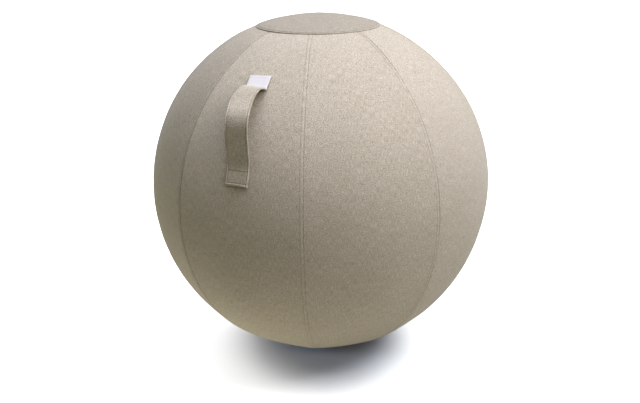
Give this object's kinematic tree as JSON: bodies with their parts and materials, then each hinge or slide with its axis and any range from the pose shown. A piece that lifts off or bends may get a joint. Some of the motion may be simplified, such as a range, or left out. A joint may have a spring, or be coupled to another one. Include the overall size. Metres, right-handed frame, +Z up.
{
  "type": "sitting ball",
  "caption": "Fabric-covered inflatable sitting ball with a sewn cover of pointed panels, a round top cap, a carrying strap, a rear zip and a flattened anti-slip base.",
  "frame": {"origin": "on the floor, under the middle of the ball", "axes": "+Z up, the seam beside the carrying strap faces -Y"},
  "size_m": [0.6498, 0.6498, 0.6424],
  "materials": {
    "cloth": "heathered felt-like woven cloth, matt",
    "base_grip": "embossed anti-slip imitation leather",
    "label": "plain white woven tab",
    "zip_tape": "woven tape",
    "zip_coil": "nylon coil",
    "zip_metal": "satin cast zinc",
    "bladder_pvc": "smooth soft PVC",
    "plug": "soft moulded plastic"
  },
  "bodies": {
    "base": {"base_disc": "base_grip"},
    "ball": {"cover_gore_1": "cloth", "cover_gore_2": "cloth", "cover_gore_3": "cloth", "cover_gore_4": "cloth", "cover_gore_5": "cloth", "cover_gore_6": "cloth", "cover_gore_7": "cloth", "cover_gore_8": "cloth", "top_cap": "cloth", "zip_tape_left": "zip_tape", "zip_tape_right": "zip_tape", "zip_coil_left": "zip_coil", "zip_coil_right": "zip_coil", "zip_top_stop": "zip_metal", "zip_bottom_stop": "zip_metal", "bladder": "bladder_pvc", "valve_plug": "plug"},
    "handle": {"handle_strap": "cloth", "label_tab": "label"},
    "zip_slider": {"zip_slider": "zip_metal"},
    "zip_pull": {"zip_pull": "zip_metal"}
  },
  "joints": [
    {"name": "seat_bounce", "type": "slide", "parent": "base", "child": "ball", "axis": [0, 0, 1], "range_m": [-0.06, 0], "stiffness_N_per_m": 10000, "springref_m": 0.005, "deforming": ["bladder"]},
    {"name": "handle_pull", "type": "slide", "parent": "ball", "child": "handle", "axis": [-0.3071, -0.7732, 0.5548], "range_m": [0, 0.012], "stiffness_N_per_m": 400},
    {"name": "zip_slide", "type": "hinge", "parent": "ball", "child": "zip_slider", "pos_m": [0, 0, 0.31737], "axis": [-0.7071, 0.7071, 0], "range_deg": [-51, 0]},
    {"name": "zip_pull_swing", "type": "hinge", "parent": "zip_slider", "child": "zip_pull", "pos_m": [0.21301, 0.21301, 0.18826], "axis": [-0.7071, 0.7071, 0], "range_deg": [-140, 20]}
  ]
}
